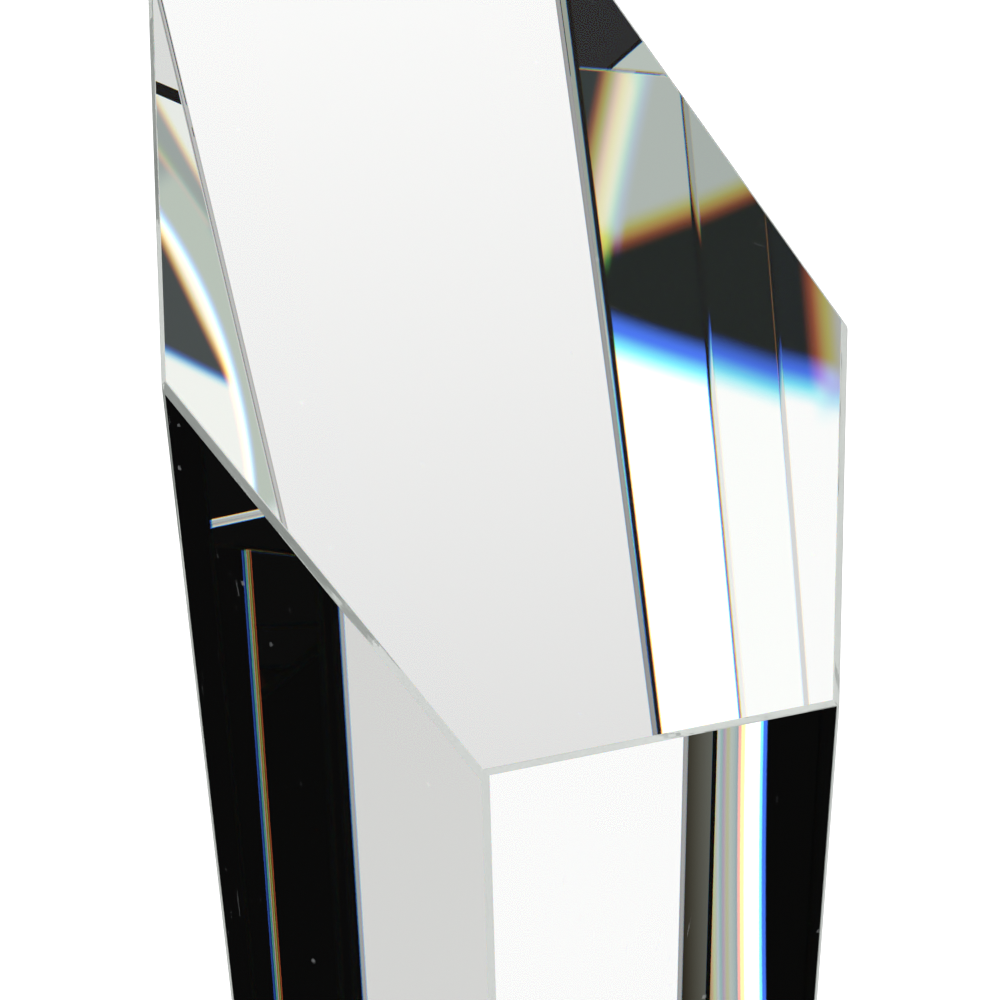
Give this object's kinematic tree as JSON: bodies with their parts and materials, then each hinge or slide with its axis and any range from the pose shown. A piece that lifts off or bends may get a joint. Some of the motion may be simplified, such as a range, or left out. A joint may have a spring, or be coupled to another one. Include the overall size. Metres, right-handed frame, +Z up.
{
  "type": "crystal award",
  "caption": "Clear six-sided crystal column with a slanted top face, narrowing to its foot, bonded to a black crystal base on a felt pad.",
  "frame": {"origin": "middle of the felt pad's underside, on the surface the award stands on", "axes": "+Z up along the column's axis; -Y is the front, where a corner of the column faces; the slanted top face climbs away from the front"},
  "size_m": [0.0742, 0.0896, 0.1881],
  "materials": {
    "optical_crystal": "polished clear crystal",
    "clear_adhesive": "cured clear adhesive",
    "black_crystal": "polished black crystal",
    "pad_adhesive": "adhesive tape",
    "felt": "pressed felt"
  },
  "bodies": {
    "root": {"crystal_column": "optical_crystal", "column_bond": "clear_adhesive", "base_block": "black_crystal", "pad_tape": "pad_adhesive", "felt_pad": "felt"}
  },
  "joints": []
}
